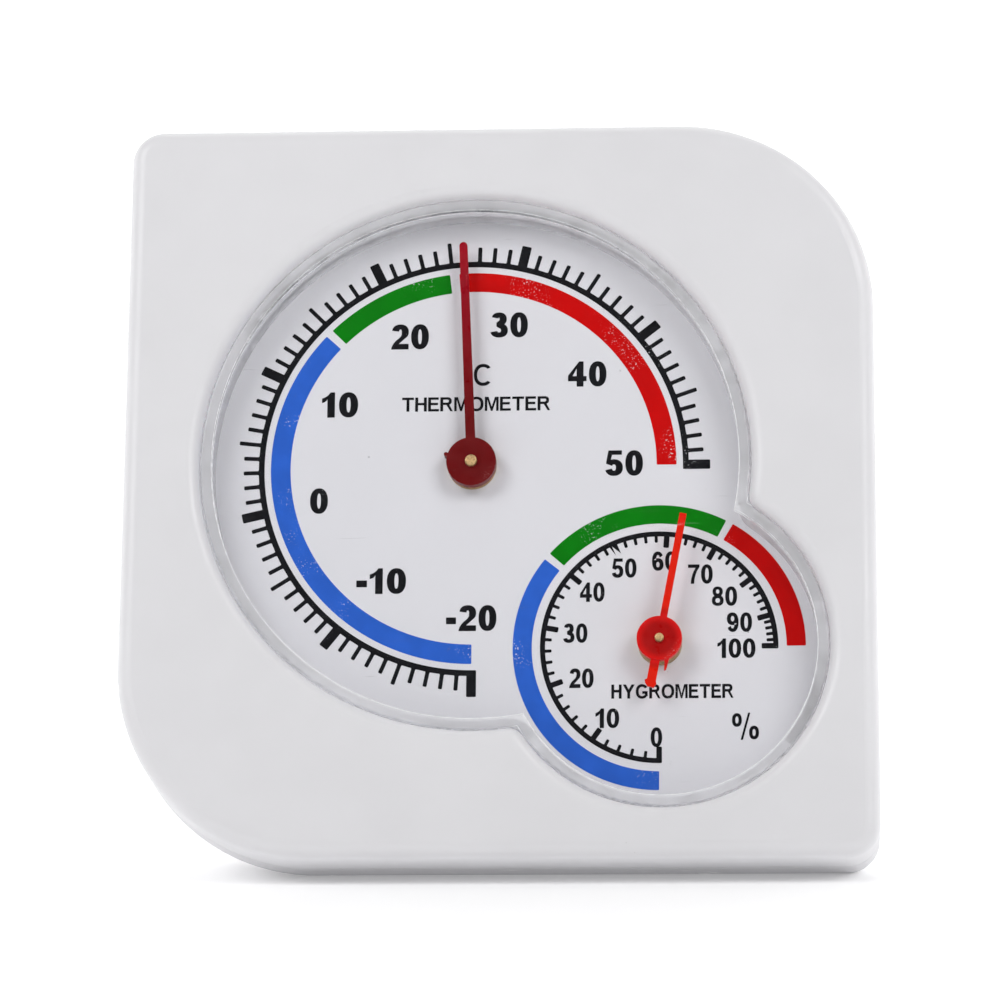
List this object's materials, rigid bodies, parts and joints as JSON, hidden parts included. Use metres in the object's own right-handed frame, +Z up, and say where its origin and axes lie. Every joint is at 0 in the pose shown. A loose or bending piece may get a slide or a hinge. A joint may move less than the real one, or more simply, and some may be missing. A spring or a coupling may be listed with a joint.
{
  "type": "dial hygrometer",
  "caption": "Small square case with a dial thermometer and a dial hygrometer behind one figure-eight lens, on a fold-out rear leg.",
  "frame": {"origin": "middle of the flat base facet that the case stands on, leaning back, with its leg open", "axes": "+Z up, +X to the viewer's right, the dials face -Y and lean back by 20 degrees"},
  "size_m": [0.0734, 0.0413, 0.0721],
  "materials": {
    "case_white": "fine satin moulded ABS",
    "lens_clear": "clear moulded polystyrene",
    "dial_white": "smooth with printed scales",
    "pointer_dark_red": "moulded",
    "pointer_red": "moulded",
    "brass": "turned",
    "bridge_brass": "stamped",
    "bimetal": "rolled strip",
    "humidity_strip": "coated strip",
    "plated_steel": "stamped and plated",
    "screw_steel": "zinc plated"
  },
  "bodies": {
    "case": {"front_bezel": "case_white", "lens": "lens_clear", "dial_plate": "dial_white", "rear_cover": "case_white", "case_screws": "screw_steel", "dial_screws": "screw_steel", "bridge_screws": "screw_steel", "thermometer_bush": "brass", "hygrometer_bush": "brass", "thermometer_bridge": "bridge_brass", "hygrometer_bridge": "bridge_brass"},
    "thermometer_lever": {"thermometer_adjuster": "plated_steel", "thermometer_coil": "bimetal"},
    "thermometer_movement": {"thermometer_pointer": "pointer_dark_red", "thermometer_arbor": "brass", "thermometer_collet": "brass"},
    "hygrometer_lever": {"hygrometer_adjuster": "plated_steel", "hygrometer_coil": "humidity_strip"},
    "hygrometer_movement": {"hygrometer_pointer": "pointer_red", "hygrometer_arbor": "brass", "hygrometer_collet": "brass"},
    "stand": {"stand_leg": "case_white"}
  },
  "joints": [
    {"name": "thermometer_calibration", "type": "hinge", "parent": "case", "child": "thermometer_lever", "pos_m": [-0.00277, 0.01062, 0.0369], "axis": [0, 0.9397, -0.342], "range_deg": [-15, 15]},
    {"name": "temperature", "type": "hinge", "parent": "thermometer_lever", "child": "thermometer_movement", "pos_m": [-0.00277, 0.00517, 0.03889], "axis": [0, 0.9397, -0.342], "range_deg": [-177.45, 92.55], "stiffness_Nm_per_rad": 0.0001, "deforming": ["thermometer_coil"]},
    {"name": "hygrometer_calibration", "type": "hinge", "parent": "case", "child": "hygrometer_lever", "pos_m": [0.01568, 0.0044, 0.01983], "axis": [0, 0.9397, -0.342], "range_deg": [-15, 15]},
    {"name": "humidity", "type": "hinge", "parent": "hygrometer_lever", "child": "hygrometer_movement", "pos_m": [0.01568, -0.00105, 0.02181], "axis": [0, 0.9397, -0.342], "range_deg": [-190.55, 79.45], "stiffness_Nm_per_rad": 0.0001, "deforming": ["hygrometer_coil"]},
    {"name": "stand_fold", "type": "hinge", "parent": "case", "child": "stand", "pos_m": [0, 0.0193, 0.04292], "axis": [1, 0, 0], "range_deg": [-30, 0]}
  ]
}
